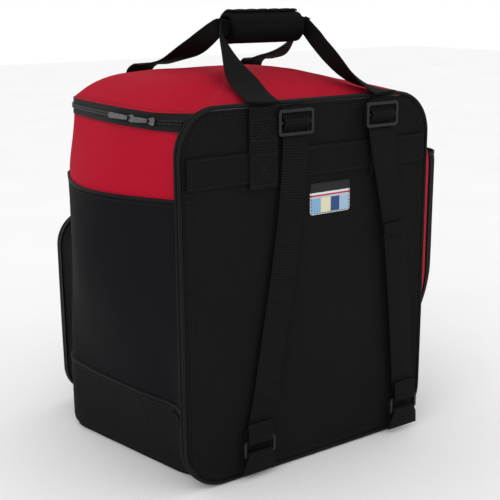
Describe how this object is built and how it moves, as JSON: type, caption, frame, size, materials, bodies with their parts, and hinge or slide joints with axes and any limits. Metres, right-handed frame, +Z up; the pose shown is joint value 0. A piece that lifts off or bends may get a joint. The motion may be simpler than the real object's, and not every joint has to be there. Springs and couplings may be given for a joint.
{
  "type": "ski boot bag",
  "caption": "Upright boxy fabric backpack bag for ski boots with a zipped fold-up lid, front pocket, two webbing carry handles joined by a grip wrap, and back straps.",
  "frame": {"origin": "on the underside of the bag, under the middle of its body", "axes": "+Z up; -Y towards the harness side that lies on the wearer's back, +Y towards the front pocket; +X to the right seen from the harness side"},
  "size_m": [0.4922, 0.3818, 0.5488],
  "materials": {
    "red_polyester": "woven coated polyester, matt",
    "black_polyester": "coarse woven polyester, matt",
    "black_nylon": "fine woven nylon, slight sheen",
    "base_fabric": "coated coarse fabric, grained",
    "black_webbing": "ribbed webbing",
    "black_piping": "bound piping",
    "zip_tape": "knitted tape with nylon coil",
    "grip_fabric": "padded soft fabric",
    "foam": "closed-cell foam",
    "lining": "plain woven lining",
    "board": "stiff plastic board",
    "black_acetal": "moulded, satin",
    "zip_metal": "die-cast, satin",
    "label": "printed patch, no lettering"
  },
  "bodies": {
    "bag": {"harness_panel": "black_polyester", "back_foam": "foam", "back_lining": "lining", "panel_piping_outer": "black_piping", "panel_piping_inner": "black_piping", "side_shell": "red_polyester", "outer_wrap": "black_nylon", "wrap_binding": "black_piping", "base_guard": "base_fabric", "guard_binding": "black_piping", "guard_tab": "black_webbing", "base_panel": "base_fabric", "base_board": "board", "side_pocket": "black_nylon", "side_pocket_binding": "black_piping", "lid_zip_lower": "zip_tape", "pocket_bellows": "black_nylon", "pocket_zip": "zip_tape", "near_anchor_left": "black_webbing", "near_anchor_right": "black_webbing", "far_anchor_left": "black_webbing", "far_anchor_right": "black_webbing", "trolley_band": "black_webbing", "label_patch": "label", "shoulder_strap_left": "black_webbing", "strap_buckle_left": "black_acetal", "strap_ring_left": "black_acetal", "strap_tab_left": "black_polyester", "shoulder_strap_right": "black_webbing", "strap_buckle_right": "black_acetal", "strap_ring_right": "black_acetal", "strap_tab_right": "black_polyester"},
    "lid": {"lid": "red_polyester", "lid_zip_upper": "zip_tape"},
    "near_handle": {"near_handle": "black_webbing", "grip_wrap": "grip_fabric"},
    "grip_flap": {"grip_flap": "grip_fabric"},
    "far_handle": {"far_handle": "black_webbing"},
    "rear_slider": {"lid_slider_rear": "zip_metal"},
    "rear_puller": {"lid_puller_rear": "zip_metal"},
    "front_slider": {"lid_slider_front": "zip_metal"},
    "front_puller": {"lid_puller_front": "zip_metal"},
    "pocket_face": {"pocket_face": "black_nylon"},
    "pocket_slider": {"pocket_slider": "zip_metal"},
    "pocket_puller": {"pocket_puller": "zip_metal"}
  },
  "joints": [
    {"name": "lid_open", "type": "hinge", "parent": "bag", "child": "lid", "pos_m": [0, -0.1377, 0.445], "axis": [1, 0, 0], "range_deg": [0, 65]},
    {"name": "near_handle_swing", "type": "hinge", "parent": "bag", "child": "near_handle", "pos_m": [0, -0.1555, 0.4505], "axis": [1, 0, 0], "range_deg": [0, 117]},
    {"name": "grip_flap_open", "type": "hinge", "parent": "near_handle", "child": "grip_flap", "pos_m": [0, -0.0311, 0.5474], "axis": [1, 0, 0], "range_deg": [0, 117], "deforming": ["grip_flap"]},
    {"name": "far_handle_swing", "type": "hinge", "parent": "bag", "child": "far_handle", "pos_m": [0, 0.156, 0.356], "axis": [-1, 0, 0], "range_deg": [0, 117]},
    {"name": "rear_slider_slide", "type": "slide", "parent": "bag", "child": "rear_slider", "axis": [-0.2118, 0.9773, 0], "range_m": [0, 0.005]},
    {"name": "rear_puller_swing", "type": "hinge", "parent": "rear_slider", "child": "rear_puller", "pos_m": [-0.19049, -0.09482, 0.43304], "axis": [0.1619, 0, 0.9868], "range_deg": [0, 150]},
    {"name": "front_slider_slide", "type": "slide", "parent": "bag", "child": "front_slider", "axis": [-0.0611, 0.9981, 0], "range_m": [0, 0.06]},
    {"name": "front_puller_swing", "type": "hinge", "parent": "front_slider", "child": "front_puller", "pos_m": [-0.19374, -0.05521, 0.43309], "axis": [0.1741, 0, 0.9847], "range_deg": [0, 150]},
    {"name": "pocket_face_fold", "type": "hinge", "parent": "bag", "child": "pocket_face", "pos_m": [0, 0.1978, 0.008], "axis": [-1, 0, 0], "range_deg": [0, 75]},
    {"name": "pocket_slider_slide", "type": "slide", "parent": "bag", "child": "pocket_slider", "axis": [-1, 0, 0], "range_m": [0, 0.14]},
    {"name": "pocket_puller_swing", "type": "hinge", "parent": "pocket_slider", "child": "pocket_puller", "pos_m": [0.094, 0.1938, 0.2805], "axis": [0, 1, 0], "range_deg": [0, 150]}
  ],
  "couplings": [
    {"joint": "near_handle_swing", "follows": "lid_open", "ratio": 1.8},
    {"joint": "grip_flap_open", "follows": "lid_open", "ratio": 1.8},
    {"joint": "far_handle_swing", "follows": "lid_open", "ratio": 1.8}
  ]
}
